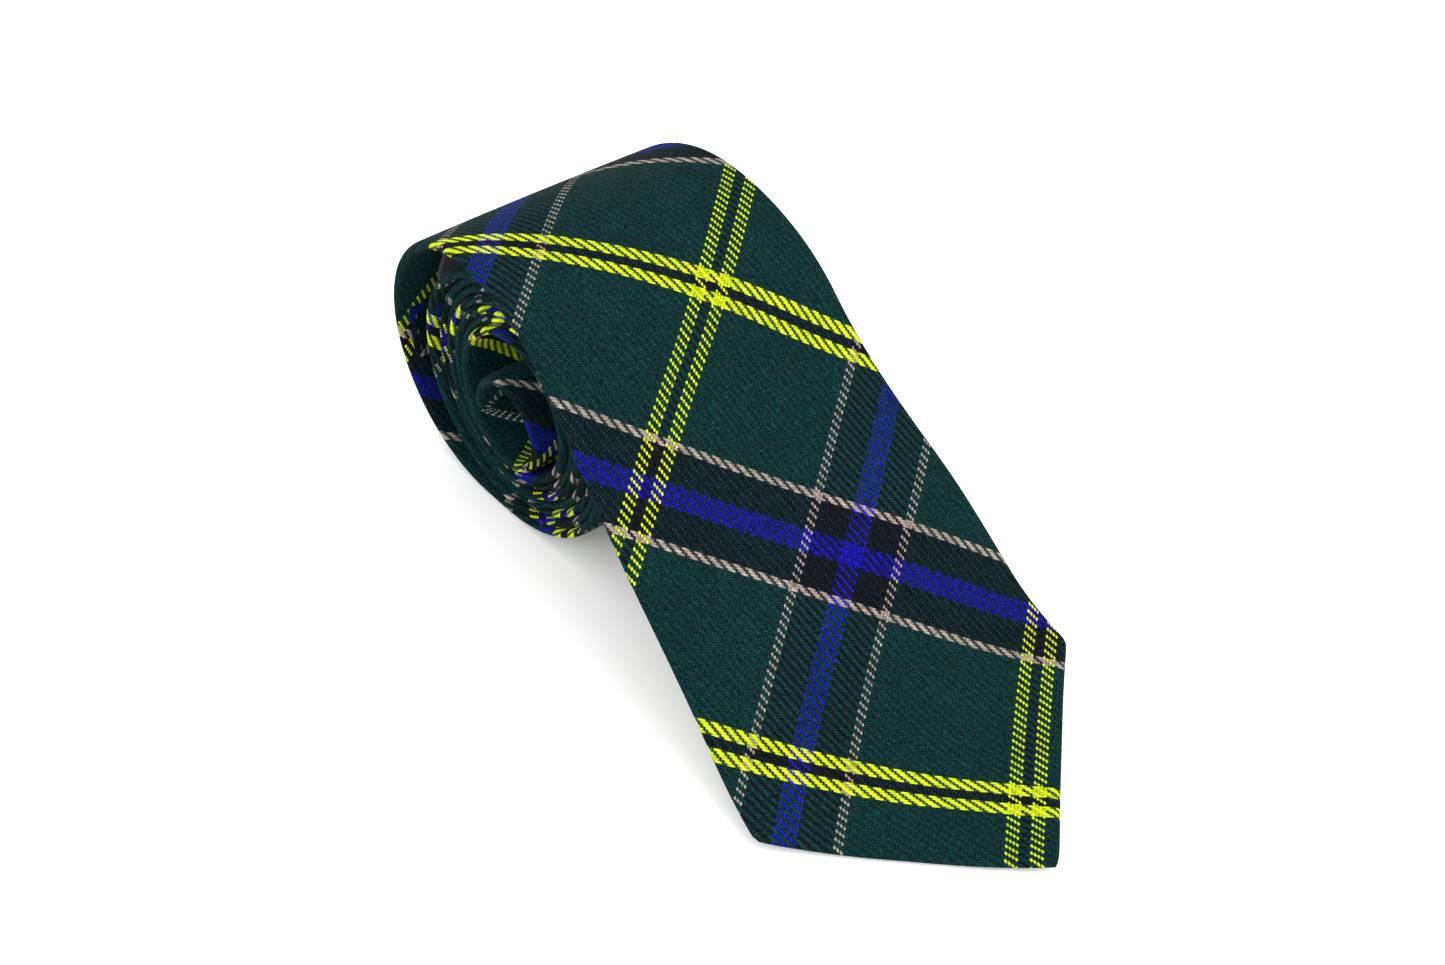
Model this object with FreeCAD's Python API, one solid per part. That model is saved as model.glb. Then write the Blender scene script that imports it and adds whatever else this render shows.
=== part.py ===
import FreeCAD, Part
import math
import os

os.makedirs("parts", exist_ok=True)

# A bias-cut necktie, rolled up from its narrow end with the wide blade left lying out of the roll.
# Frame: +Z up, the surface it rests on is z = 0, X along the roll's axis, the blade points to -Y.
#
# Every piece is swept along one path, the line that the front of the tie follows from the blade's
# tip into the roll. A place on the tie is given by s, the distance along that line from the tip,
# by x, the distance across from the centre line, and by n, the depth from the front face.

# ---- Driving dimensions, millimetres and degrees ----
LENGTH = 1450.0            # tip to tip
TIP_ANGLE = 48.0           # between a tip's slanting edge and the centre line
BLADE_CORNER_HALF = 45.0   # half the width where the blade is widest
NECK_HALF = 14.6           # half the width that the taper runs down to
TAPER_LENGTH = 320.0       # how quickly the blade narrows
TAIL_FLARE = 4.4           # how much half the width grows again at the narrow end
TAIL_FLARE_LENGTH = 150.0

SHELL = 0.55               # wool cloth
LINING_CORE = 0.70         # interlining
TIPPING = 0.15             # lining at the tips
EASE = 0.05                # space between layers
STACK = SHELL + EASE + LINING_CORE + EASE + TIPPING + EASE + SHELL

HEM = 11.5                 # width of the hem turned back at the blade's tip
TAIL_HEM = 7.0
SEAM_HALF_GAP = 0.3        # half the gap where the folds meet at the back
BLUNT_HALF = 2.5           # half the width at which the folded tips start
BLADE_SEAM_START = 85.0    # where the back seam starts, from the blade's tip
TAIL_SEAM_START = 45.0     # the same from the narrow tip

PIECING_BLADE = 700.0      # seam between the wide piece and the middle piece
PIECING_TAIL = 985.0       # seam between the middle piece and the narrow piece
PIECING_GAP = 0.5

# ---- The path of the front face ----
TIP_LIFT_ANGLE = 14.0      # the tip curls up off the surface
FLAT_RUN = 9.0             # the stretch that lies flat
BLADE_BENDS = [            # (length, turn in degrees, positive turns upwards)
    (35.0, 37.0),
    (32.0, -8.0),
    (40.0, 14.0),
]
ROLL_RADIUS = 34.0         # outermost turn
BACK_SLACK = 7.0           # the inner turns sit this much towards the blade
TOP_SLACK = 1.6            # and this much below the top of the outermost turn
TURN_PITCH = 2.24          # from one turn to the next
TAIL_CURL = 80.0           # the narrow end curls loosely inside the packed turns
CURL_RADII = [12.0, 9.2, 7.6]
DRIFTS = [                 # (from, to, shift): the inner turns are wound towards the roll's -X end
    (285.0, 400.0, 6.5),
    (450.0, 1000.0, 5.5),
]
STRIP_POINTS = 7           # points on each short edge curve
MAX_TURN = math.radians(60.0)

# ---- Trims on the back ----
KEEPER_START = 226.0
KEEPER_WIDTH = 14.0
KEEPER_INSET = 3.0         # from the tie's edge to the keeper's end
KEEPER_CLOTH = 0.5
KEEPER_RISE = 1.0
LABEL_START = 203.0
LABEL_HEIGHT = 17.0
LABEL_HALF = 21.0
LABEL_THICK = 0.25
CARE_START = 250.0
CARE_HEIGHT = 16.0
CARE_HALF = 9.0
TACK_LENGTH = 1.2
TACK_HALF = 4.0
TACK_THICK = 0.35
THREAD = 0.4
STITCH_LENGTH = 1.2
STITCH_PITCH = 5.0

# ---- Worked out from the dimensions above ----
TIP_SLOPE = math.tan(math.radians(TIP_ANGLE))
HEM_X = HEM / math.cos(math.radians(TIP_ANGLE))
TAIL_HEM_X = TAIL_HEM / math.cos(math.radians(TIP_ANGLE))
BLADE_CORNER = BLADE_CORNER_HALF / TIP_SLOPE
TAIL_HALF = NECK_HALF + TAIL_FLARE
TAIL_CORNER = LENGTH - TAIL_HALF / TIP_SLOPE
BLADE_START = BLUNT_HALF / TIP_SLOPE
TAIL_END = LENGTH - BLADE_START
HEM_POINT = (HEM_X + SEAM_HALF_GAP) / TIP_SLOPE
TAIL_HEM_POINT = LENGTH - (TAIL_HEM_X + SEAM_HALF_GAP) / TIP_SLOPE
SEAM_BEGIN = BLADE_SEAM_START
SEAM_END = LENGTH - TAIL_SEAM_START
CORE_N = SHELL + EASE
TIPPING_N = CORE_N + LINING_CORE + EASE
FLAP_N = STACK - SHELL
TAPER = BLADE_CORNER_HALF - NECK_HALF


def half_width(s):
    """Half the tie's width at s: two slanting tips and a taper that dies away between them."""
    if s < BLADE_CORNER:
        return s * TIP_SLOPE
    if s > TAIL_CORNER:
        return (LENGTH - s) * TIP_SLOPE
    narrowing = TAPER * math.exp((BLADE_CORNER - s) / TAPER_LENGTH)
    widening = TAIL_FLARE * math.exp((s - TAIL_CORNER) / TAIL_FLARE_LENGTH)
    return NECK_HALF + narrowing + widening


def back_gap(s):
    """Half the opening between the folded edges at the back: open at the tips, closed between."""
    if s < BLADE_CORNER:
        return max(SEAM_HALF_GAP, half_width(s) - HEM_X)
    if s < SEAM_BEGIN:
        share = (SEAM_BEGIN - s) / (SEAM_BEGIN - BLADE_CORNER)
        return SEAM_HALF_GAP + share * (BLADE_CORNER_HALF - HEM_X - SEAM_HALF_GAP)
    if s <= SEAM_END:
        return SEAM_HALF_GAP
    if s < TAIL_CORNER:
        share = (s - SEAM_END) / (TAIL_CORNER - SEAM_END)
        return SEAM_HALF_GAP + share * (TAIL_HALF - TAIL_HEM_X - SEAM_HALF_GAP)
    return max(SEAM_HALF_GAP, half_width(s) - TAIL_HEM_X)


def build_path():
    """The bends of the path in order, each with its start, its heading, its length and its turn."""
    path = []
    add_bend(path, HEM_POINT, math.radians(TIP_LIFT_ANGLE))
    flat_z = path_end(path)[2]
    add_bend(path, FLAT_RUN, 0.0)
    for length, turn in BLADE_BENDS:
        add_bend(path, length, math.radians(turn))
    rise = path_end(path)[3]
    blade_top = path_end(path)[2] - flat_z + STACK
    crown_radius = (2.0 * ROLL_RADIUS - blade_top) / (1.0 - math.cos(rise))
    add_bend(path, crown_radius * rise, -rise)
    radius = ROLL_RADIUS
    add_bend(path, math.pi * radius, -math.pi)
    add_bend(path, BACK_SLACK, 0.0)
    radius -= TOP_SLACK / 2.0
    while path_end(path)[0] < LENGTH - TAIL_CURL:
        radius -= TURN_PITCH / 2.0
        add_bend(path, math.pi * radius, -math.pi)
    for radius in CURL_RADII:
        add_bend(path, math.pi * radius, -math.pi)
    return path


def path_end(path):
    """Distance, position and heading at the end of the path so far."""
    if not path:
        return 0.0, 0.0, 0.0, -math.radians(TIP_LIFT_ANGLE)
    last = path[-1]
    return (last["s"] + last["length"], *along(last, last["length"]))


def add_bend(path, length, turn):
    """Add one bend, tangent to the end of the path."""
    s, y, z, heading = path_end(path)
    path.append({"s": s, "y": y, "z": z, "heading": heading, "length": length, "turn": turn})


def along(bend, distance):
    """Position and heading after a distance along one bend."""
    start = bend["heading"]
    turn = bend["turn"] * distance / bend["length"]
    if bend["turn"] == 0.0:
        return bend["y"] + distance * math.cos(start), bend["z"] + distance * math.sin(start), start
    radius = bend["length"] / bend["turn"]
    y = bend["y"] + radius * (math.sin(start + turn) - math.sin(start))
    z = bend["z"] - radius * (math.cos(start + turn) - math.cos(start))
    return y, z, start + turn


PATH = build_path()


def bend_at(s):
    """The bend that holds s."""
    for bend in reversed(PATH):
        if s >= bend["s"] - 1e-6:
            return bend
    return PATH[0]


FLAT_BEND = PATH[1]
BACK_BEND = PATH[6]
TIP_Y = along(PATH[0], BLADE_START)[0] + STACK * math.sin(along(PATH[0], BLADE_START)[2])
SHIFT_Y = -(TIP_Y + BACK_BEND["y"] + ROLL_RADIUS) / 2.0
SHIFT_Z = STACK - FLAT_BEND["z"]


def drift(s):
    """How far the centre line has moved sideways by s."""
    total = 0.0
    for first, last, shift in DRIFTS:
        share = min(1.0, max(0.0, (s - first) / (last - first)))
        total -= shift * share * share * (3.0 - 2.0 * share)
    return total


def place(bend, s, x, n):
    """The point of the tie at s, x and n, in the part's frame."""
    y, z, heading = along(bend, s - bend["s"])
    y += n * math.sin(heading) + SHIFT_Y
    z -= n * math.cos(heading) - SHIFT_Z
    return FreeCAD.Vector(x + drift(s), y, z)


def stations(first, last):
    """Where the sweep is cut: at the bends' ends, at the outline's corners and inside long arcs."""
    cuts = {first, last}
    corners = [HEM_POINT, BLADE_CORNER, SEAM_BEGIN, SEAM_END, TAIL_CORNER, TAIL_HEM_POINT]
    cuts.update(s for s in corners if first < s < last)
    for bend in PATH:
        pieces = max(1, math.ceil(abs(bend["turn"]) / MAX_TURN))
        for i in range(pieces):
            s = bend["s"] + bend["length"] * i / pieces
            if first < s < last:
                cuts.add(s)
    return sorted(cuts)


def edge_between(bend, section, corner, s0, s1):
    """One long edge of a piece between two stations."""
    if bend["turn"] == 0.0:
        ends = [place(bend, s, *section(s)[corner]) for s in (s0, s1)]
        return Part.LineSegment(*ends).toShape()
    points = []
    for i in range(STRIP_POINTS):
        s = s0 + (s1 - s0) * i / (STRIP_POINTS - 1)
        points.append(place(bend, s, *section(s)[corner]))
    curve = Part.BSplineCurve()
    curve.interpolate(points)
    return curve.toShape()


def cap(bend, section, s):
    """The flat end of a piece."""
    points = [place(bend, s, x, n) for x, n in section(s)]
    return Part.Face(Part.makePolygon(points + points[:1]))


def sweep(section, first, last):
    """A closed solid whose cross-section at s is section(s), a ring of (x, n) corners."""
    cuts = stations(first, last)
    faces = []
    for s0, s1 in zip(cuts[:-1], cuts[1:]):
        bend = bend_at(s0)
        count = len(section(s0))
        edges = [edge_between(bend, section, i, s0, s1) for i in range(count)]
        for i in range(count):
            if bend["turn"] == 0.0:
                a, b = edges[i].Vertexes, edges[(i + 1) % count].Vertexes
                ring = [a[0].Point, a[1].Point, b[1].Point, b[0].Point, a[0].Point]
                faces.append(Part.Face(Part.makePolygon(ring)))
            else:
                faces.append(Part.makeRuledSurface(edges[i], edges[(i + 1) % count]))
    faces.append(cap(bend_at(first), section, first))
    faces.append(cap(bend_at(last - 1e-4), section, last))
    shell = Part.makeShell(faces)
    shell.sewShape()
    solid = Part.makeSolid(Part.Shell(shell.Faces))
    if solid.Volume < 0.0:
        solid.reverse()
    return solid


def rectangle(half, low, high):
    """A ring of four corners, half(s) to each side, between two depths."""
    return lambda s: [(-half(s), low), (half(s), low), (half(s), high), (-half(s), high)]


def shell_section(s):
    """The folded shell: front, two folds, and two flaps that meet at the back seam."""
    outer = half_width(s)
    inner = outer - SHELL
    gap = back_gap(s)
    return [
        (-outer, 0.0), (outer, 0.0), (outer, STACK), (gap, STACK), (gap, FLAP_N), (inner, FLAP_N),
        (inner, SHELL), (-inner, SHELL), (-inner, FLAP_N), (-gap, FLAP_N), (-gap, STACK),
        (-outer, STACK),
    ]


def core_half(s):
    """Half the width of what lies inside the shell."""
    return half_width(s) - SHELL - EASE


def make_interlining():
    first = BLADE_START + (SHELL + EASE) / TIP_SLOPE
    return sweep(rectangle(core_half, CORE_N, CORE_N + LINING_CORE), first, LENGTH - first)


def make_tipping(first, last):
    return sweep(rectangle(core_half, TIPPING_N, TIPPING_N + TIPPING), first, last)


def make_slip_stitch():
    """The thread that closes the back seam, lying in the gap between the flaps."""
    low = FLAP_N + (SHELL - THREAD) / 2.0
    section = rectangle(lambda s: THREAD / 2.0, low, low + THREAD)
    clear = TACK_LENGTH + PIECING_GAP
    return sweep(section, SEAM_BEGIN + clear, SEAM_END - clear)


def make_bar_tack(s):
    """A satin-stitched bar over the end of the seam."""
    section = rectangle(lambda s: TACK_HALF, STACK, STACK + TACK_THICK)
    return sweep(section, s - TACK_LENGTH / 2.0, s + TACK_LENGTH / 2.0)


def make_piecing_seam(s):
    """The thread that joins two shell pieces, across the front inside their seam."""
    low = (SHELL - THREAD) / 2.0
    section = rectangle(lambda s: half_width(s) - SHELL, low, low + THREAD)
    return sweep(section, s - PIECING_GAP / 2.0, s + PIECING_GAP / 2.0)


def make_keeper_loop():
    """A flat arch of shell cloth on the back that the narrow end is threaded through."""
    foot = 6.0
    slope = 3.0
    skin = STACK + EASE

    def section(s):
        end = half_width(KEEPER_START) - KEEPER_INSET
        rise = skin + KEEPER_RISE
        half = [
            (end, skin), (end - foot, skin), (end - foot - slope, rise),
        ]
        upper = [(x, n + KEEPER_CLOTH) for x, n in half]
        mirrored = [(-x, n) for x, n in reversed(half)]
        mirrored_upper = [(-x, n) for x, n in upper]
        return half + mirrored + mirrored_upper + list(reversed(upper))

    return sweep(section, KEEPER_START, KEEPER_START + KEEPER_WIDTH)


def make_label(first, height, half):
    """A blank woven label, flat on the back."""
    section = rectangle(lambda s: half, STACK + EASE, STACK + EASE + LABEL_THICK)
    return sweep(section, first, first + height)


def stitch(s, x, length, low):
    """One short stitch that lies along the tie."""
    half = THREAD / 2.0
    ring = [(x - half, low), (x + half, low), (x + half, low + half), (x - half, low + half)]
    return sweep(lambda at: ring, s, s + length)


def make_keeper_stitches():
    x = half_width(KEEPER_START) - KEEPER_INSET - 1.5
    low = STACK + EASE + KEEPER_CLOTH
    places = [KEEPER_START + 2.0, KEEPER_START + 6.4, KEEPER_START + 10.8]
    return Part.makeCompound([stitch(s, side * x, STITCH_LENGTH, low) for s in places for side in (-1, 1)])


def make_label_stitches():
    x = LABEL_HALF - 1.0
    low = STACK + EASE + LABEL_THICK
    places = [LABEL_START + 1.0 + i * 3.4 for i in range(5)]
    return Part.makeCompound([stitch(s, side * x, STITCH_LENGTH, low) for s in places for side in (-1, 1)])


def make_hem_stitches(first, last):
    """Hem stitches that hold the tipping, along the inner edges of the turned-back hem."""
    stitches = []
    low = FLAP_N + EASE
    for i in range(int((last - first) / STITCH_PITCH)):
        s = first + i * STITCH_PITCH
        reach = min(back_gap(s), back_gap(s + STITCH_LENGTH)) - THREAD
        if reach > THREAD:
            stitches += [stitch(s, side * reach, STITCH_LENGTH, low) for side in (-1, 1)]
    return Part.makeCompound(stitches)


PIECES = {
    "blade_shell": sweep(shell_section, BLADE_START, PIECING_BLADE - PIECING_GAP / 2.0),
    "neck_gusset": sweep(shell_section, PIECING_BLADE + PIECING_GAP / 2.0, PIECING_TAIL - PIECING_GAP / 2.0),
    "tail_shell": sweep(shell_section, PIECING_TAIL + PIECING_GAP / 2.0, TAIL_END),
    "interlining": make_interlining(),
    "blade_tipping": make_tipping(2.0 * BLADE_START, SEAM_BEGIN + 25.0),
    "tail_tipping": make_tipping(SEAM_END - 15.0, LENGTH - 2.0 * BLADE_START),
    "slip_stitch_thread": make_slip_stitch(),
    "blade_bar_tack": make_bar_tack(SEAM_BEGIN + TACK_LENGTH / 2.0),
    "tail_bar_tack": make_bar_tack(SEAM_END - TACK_LENGTH / 2.0),
    "blade_piecing_seam": make_piecing_seam(PIECING_BLADE),
    "tail_piecing_seam": make_piecing_seam(PIECING_TAIL),
    "keeper_loop": make_keeper_loop(),
    "keeper_stitches": make_keeper_stitches(),
    "maker_label": make_label(LABEL_START, LABEL_HEIGHT, LABEL_HALF),
    "maker_label_stitches": make_label_stitches(),
    "care_label": make_label(CARE_START, CARE_HEIGHT, CARE_HALF),
    "blade_tipping_stitches": make_hem_stitches(HEM_POINT + 3.0, SEAM_BEGIN - 3.0),
    "tail_tipping_stitches": make_hem_stitches(SEAM_END + 3.0, TAIL_HEM_POINT - 2.0),
}

for name, shape in PIECES.items():
    shape.exportStep("parts/" + name + ".step")
    box = shape.BoundBox
    print(
        name, shape.isValid(), len(shape.Solids), len(shape.Faces), round(shape.Volume, 1),
        [round(v, 2) for v in (box.XMin, box.YMin, box.ZMin, box.XMax, box.YMax, box.ZMax)],
    )
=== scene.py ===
import math

import bmesh
import bpy
import numpy as np
from mathutils import Matrix, Vector


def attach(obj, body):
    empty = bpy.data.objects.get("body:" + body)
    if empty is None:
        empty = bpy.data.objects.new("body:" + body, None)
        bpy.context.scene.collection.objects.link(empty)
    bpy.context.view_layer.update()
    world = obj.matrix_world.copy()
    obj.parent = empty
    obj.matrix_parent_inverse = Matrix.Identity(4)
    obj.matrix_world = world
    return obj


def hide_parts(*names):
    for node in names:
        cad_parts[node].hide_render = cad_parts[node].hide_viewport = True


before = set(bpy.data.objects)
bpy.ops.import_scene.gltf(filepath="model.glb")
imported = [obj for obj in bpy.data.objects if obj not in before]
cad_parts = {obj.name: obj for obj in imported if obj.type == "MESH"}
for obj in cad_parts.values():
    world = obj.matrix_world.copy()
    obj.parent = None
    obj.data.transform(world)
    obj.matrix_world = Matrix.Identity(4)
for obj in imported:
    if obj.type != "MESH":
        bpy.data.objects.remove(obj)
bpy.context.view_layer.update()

# A bias-cut wool tartan necktie, rolled up from its narrow end. Lengths below are in millimetres and
# become metres in place(). A place on the tie is s (along it from the blade's tip), x (across it) and
# n (depth from the front face), as in the CAD part.

MM = 0.001
BODY = "root"

# ---- The tie's cut, as in the CAD part ----
LENGTH = 1450.0
BIAS = math.radians(48.0)              # the slope of the tips' sides, and how the threads lie
TIP_SLOPE = math.tan(BIAS)
BLADE_CORNER_HALF = 45.0
BLADE_CORNER = BLADE_CORNER_HALF / TIP_SLOPE
NECK_HALF = 14.6
TAPER = BLADE_CORNER_HALF - NECK_HALF
TAPER_LENGTH = 320.0
TAIL_FLARE = 4.4
TAIL_FLARE_LENGTH = 150.0
TAIL_HALF = NECK_HALF + TAIL_FLARE
TAIL_CORNER = LENGTH - TAIL_HALF / TIP_SLOPE
HEM_X = 11.5 / math.cos(BIAS)          # the hems turned back at the tips, measured across the tie
TAIL_HEM_X = 7.0 / math.cos(BIAS)
SEAM_HALF_GAP = 0.3
SEAM_BEGIN = 85.0
SEAM_END = LENGTH - 45.0
HEM_POINT = (HEM_X + SEAM_HALF_GAP) / TIP_SLOPE
TAIL_HEM_POINT = LENGTH - (TAIL_HEM_X + SEAM_HALF_GAP) / TIP_SLOPE
PIECING_BLADE = 700.0
PIECING_TAIL = 985.0

# ---- Its layers, as depths from the front face ----
SHELL = 0.55
CORE_LOW, CORE_HIGH = 0.60, 1.30
TIPPING_LOW, TIPPING_HIGH = 1.35, 1.50
STACK = 2.1
SKIN = STACK + 0.05                    # where the keeper and labels begin
LAYER_INSET = 1.9                      # how far the inner layers stay inside the folded edges

# ---- Its path, seen along the roll's axis, as in the CAD part ----
TIP_LIFT = math.radians(14.0)
FLAT_RUN = 9.0
BLADE_BENDS = [(35.0, 37.0), (32.0, -8.0), (40.0, 14.0)]    # length and degrees of each
ROLL_RADIUS = 34.0
BACK_SLACK = 7.0
TOP_SLACK = 1.6
TURN_PITCH = 2.24
TAIL_CURL = 80.0
CURL_RADII = [12.0, 9.2, 7.6]
FLAT_BEND, TOP_BEND = 1, 6             # which bends lie flat and go over the top of the roll
BLUNT_START = 2.5 / TIP_SLOPE          # where the solids' tip is cut off blunt
DRIFTS = [(285.0, 400.0, 6.5), (450.0, 1000.0, 5.5)]        # from, to, and how far sideways

# ---- How the cloth departs from the plain solids ----
TIP_THINNING = 4.0                     # half width below which the cloth thins into the soft point
TIP_ROUND = 1.2                        # how far the soft point stops short of the drawn one
TIP_PRESSED = 0.72                     # the share of its depth that a pressed tip keeps
TIP_PRESSED_LENGTH = 14.0
CORNER_ROUND = 0.5
WANDERS = [(0.35, 61.0, 0.7), (0.25, 27.0, 2.1)]            # height, length and phase
WANDER_BEGIN = (230.0, 330.0)
CROWN = 0.5                            # how much the edges of a turn sag inwards
CROWN_BEGIN = (60.0, 150.0)
WAVE_ALONG, WAVE_ACROSS = 0.38, 0.25   # gentle waves where the blade lies free
FREE_BEGIN, FREE_END = (27.0, 62.0), (120.0, 160.0)
STITCH_LIFT = 0.22                     # the flat run rests on its hem stitches
STITCH_LIFT_END = (32.0, 70.0)


def along(y, z, heading, length, turn, distance):
    """Position and heading after a distance along a bend, or along many bends."""
    straight = turn == 0.0
    radius = length / np.where(straight, 1.0, turn)
    angle = heading + turn * distance / length
    straight_y = y + distance * np.cos(heading)
    straight_z = z + distance * np.sin(heading)
    curved_y = y + radius * (np.sin(angle) - np.sin(heading))
    curved_z = z - radius * (np.cos(angle) - np.cos(heading))
    return np.where(straight, straight_y, curved_y), np.where(straight, straight_z, curved_z), angle


def build_path():
    """Rows of start, y, z, heading, length, turn for each bend of the front face's line."""
    bends = []

    def end():
        if not bends:
            return 0.0, 0.0, 0.0, -TIP_LIFT
        s, y, z, heading, length, turn = bends[-1]
        return (s + length, *along(y, z, heading, length, turn, length))

    def add(length, turn):
        s, y, z, heading = end()
        bends.append((s, float(y), float(z), heading, length, turn))

    add(HEM_POINT, TIP_LIFT)
    flat_z = end()[2]
    add(FLAT_RUN, 0.0)
    for length, degrees in BLADE_BENDS:
        add(length, math.radians(degrees))
    rise = end()[3]
    blade_top = end()[2] - flat_z + STACK
    add((2.0 * ROLL_RADIUS - blade_top) / (1.0 - math.cos(rise)) * rise, -rise)
    radius = ROLL_RADIUS
    add(math.pi * radius, -math.pi)
    add(BACK_SLACK, 0.0)
    radius -= TOP_SLACK / 2.0
    while end()[0] < LENGTH - TAIL_CURL:
        radius -= TURN_PITCH / 2.0
        add(math.pi * radius, -math.pi)
    for radius in CURL_RADII:
        add(math.pi * radius, -math.pi)
    return np.array(bends)


PATH = build_path()


def path_at(s):
    """Y, z and heading of the front face's line at every s."""
    s = np.asarray(s, float)
    index = np.clip(np.searchsorted(PATH[:, 0], s, side="right") - 1, 0, len(PATH) - 1)
    start, y, z, heading, length, turn = (PATH[index, column] for column in range(6))
    return along(y, z, heading, length, turn, s - start)


# The origin is the centre of the footprint, on the surface that the tie rests on.
TIP_LINE = path_at(BLUNT_START)
TIP_Y = TIP_LINE[0] + STACK * math.sin(TIP_LINE[2])
SHIFT_Y = -(TIP_Y + PATH[TOP_BEND, 1] + ROLL_RADIUS) / 2.0
SHIFT_Z = STACK - PATH[FLAT_BEND, 2]


def smooth(low, high, value):
    """0 below low, 1 above high, and a smooth rise between."""
    t = np.clip((np.asarray(value, float) - low) / (high - low), 0.0, 1.0)
    return t * t * (3.0 - 2.0 * t)


def window(s, rise, fall):
    """1 between a rise and a fall, each given by where it begins and ends."""
    return smooth(*rise, s) * (1.0 - smooth(*fall, s))


def drift(s):
    """How far the centre line has moved sideways: the turns aren't wound quite true."""
    wander = sum(height * np.sin(s / length + phase) for height, length, phase in WANDERS)
    shift = sum(amount * smooth(first, last, s) for first, last, amount in DRIFTS)
    return wander * smooth(*WANDER_BEGIN, s) - shift


def settle(s, x):
    """How far the cloth stands off its plain solid: a crowned turn, and gentle waves where it lies free."""
    crown = CROWN * (x / BLADE_CORNER_HALF) ** 2 * smooth(*CROWN_BEGIN, s)
    wave = WAVE_ALONG * np.sin(s / 9.5 + x / 31.0 + 0.4) + WAVE_ACROSS * np.sin(x / 13.0 - s / 21.0)
    on_stitches = STITCH_LIFT * (1.0 - smooth(*STITCH_LIFT_END, s))
    return crown + window(s, FREE_BEGIN, FREE_END) * wave - on_stitches


def place(s, x, n):
    """Points of the tie at s, x and n, in metres in the part's frame."""
    s, x, n = np.broadcast_arrays(np.asarray(s, float), np.asarray(x, float), np.asarray(n, float))
    y, z, heading = path_at(s)
    full = window(s, (0.0, TIP_PRESSED_LENGTH), (LENGTH - TIP_PRESSED_LENGTH, LENGTH))
    middle = STACK / 2.0
    depth = (n - middle) * (TIP_PRESSED + (1.0 - TIP_PRESSED) * full)
    n = middle + depth + settle(s, x)
    y = y + n * np.sin(heading) + SHIFT_Y
    z = z - n * np.cos(heading) + SHIFT_Z
    return np.stack([x + drift(s), y, z], axis=-1) * MM


def half_width(s):
    """Half the tie's width, with soft points and slightly rounded corners."""
    s = np.asarray(s, float)
    rise = TIP_SLOPE * np.sqrt(np.maximum(s ** 2 - TIP_ROUND ** 2, 0.0))
    fall = TIP_SLOPE * np.sqrt(np.maximum((LENGTH - s) ** 2 - TIP_ROUND ** 2, 0.0))
    body = NECK_HALF + TAPER * np.exp((BLADE_CORNER - s) / TAPER_LENGTH)
    body = body + TAIL_FLARE * np.exp((s - TAIL_CORNER) / TAIL_FLARE_LENGTH)
    stacked = np.stack([rise, fall, body])
    least = stacked.min(axis=0)
    total = np.exp(-(stacked - least) / CORNER_ROUND).sum(axis=0)
    return np.maximum(least - CORNER_ROUND * np.log(total), 0.0)


def edge_slant(s):
    """The angle between the tie's edge and its centre line."""
    step = 0.05
    low = np.maximum(s - step, TIP_ROUND)
    high = np.minimum(s + step, LENGTH - TIP_ROUND)
    return np.arctan((half_width(high) - half_width(low)) / (high - low))


def back_gap(s):
    """Half the opening between the folded edges at the back."""
    s = np.asarray(s, float)
    width = half_width(s)
    ramp = (SEAM_BEGIN - s) / (SEAM_BEGIN - BLADE_CORNER)
    tail_ramp = (s - SEAM_END) / (TAIL_CORNER - SEAM_END)
    gap = np.where(s < SEAM_BEGIN, ramp * (BLADE_CORNER_HALF - HEM_X - SEAM_HALF_GAP), 0.0)
    gap = np.where(s < BLADE_CORNER, width - HEM_X, gap)
    gap = np.where(s > SEAM_END, tail_ramp * (TAIL_HALF - TAIL_HEM_X - SEAM_HALF_GAP), gap)
    gap = np.maximum(np.where(s > TAIL_CORNER, width - TAIL_HEM_X, gap), 0.0)
    closed_gap, narrow_share = 0.1, 0.2
    return np.minimum(gap + closed_gap, narrow_share * width + gap)


# ---- Mesh helpers ----
WELD_DISTANCE = 0.004


def add_object(name, vertices, faces, material, uv=None):
    """A smooth mesh object from arrays. uv holds one pair for each vertex."""
    mesh = bpy.data.meshes.new(name)
    mesh.from_pydata([tuple(v) for v in vertices], [], [tuple(f) for f in faces])
    if uv is not None:
        layer = mesh.uv_layers.new(name="cloth")
        corners = np.zeros(len(mesh.loops), np.int32)
        mesh.loops.foreach_get("vertex_index", corners)
        layer.data.foreach_set("uv", np.asarray(uv, np.float32)[corners].ravel())
    mesh.polygons.foreach_set("use_smooth", [True] * len(mesh.polygons))
    mesh.materials.append(material)
    mesh.update()
    piece = bpy.data.objects.new(name, mesh)
    bpy.context.scene.collection.objects.link(piece)
    return piece


def grid_faces(rows, columns, closed=False):
    """Quads between neighbouring points of a grid, facing out of the tie's front."""
    index = np.arange(rows * columns).reshape(rows, columns)
    if closed:
        index = np.concatenate([index, index[:, :1]], axis=1)
    quads = np.stack([index[:-1, :-1], index[:-1, 1:], index[1:, 1:], index[1:, :-1]], axis=-1)
    return quads.reshape(-1, 4)


def tube_faces(rows, ring):
    """Quads round a closed tube, with a face over each end."""
    faces = [tuple(f) for f in grid_faces(rows, ring, closed=True)]
    faces.append(tuple(reversed(range(ring))))
    faces.append(tuple(range((rows - 1) * ring, rows * ring)))
    return faces


def weld(piece):
    """Merge points that coincide, as at the soft tips."""
    modifier = piece.modifiers.new("weld", "WELD")
    modifier.merge_threshold = WELD_DISTANCE * MM


def thicken(piece, thickness, group=""):
    """Give a sheet its thickness, scaled by a vertex group if one is named."""
    modifier = piece.modifiers.new("thickness", "SOLIDIFY")
    modifier.thickness = thickness * MM
    modifier.offset = -1.0
    modifier.use_rim = True
    modifier.vertex_group = group


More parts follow.
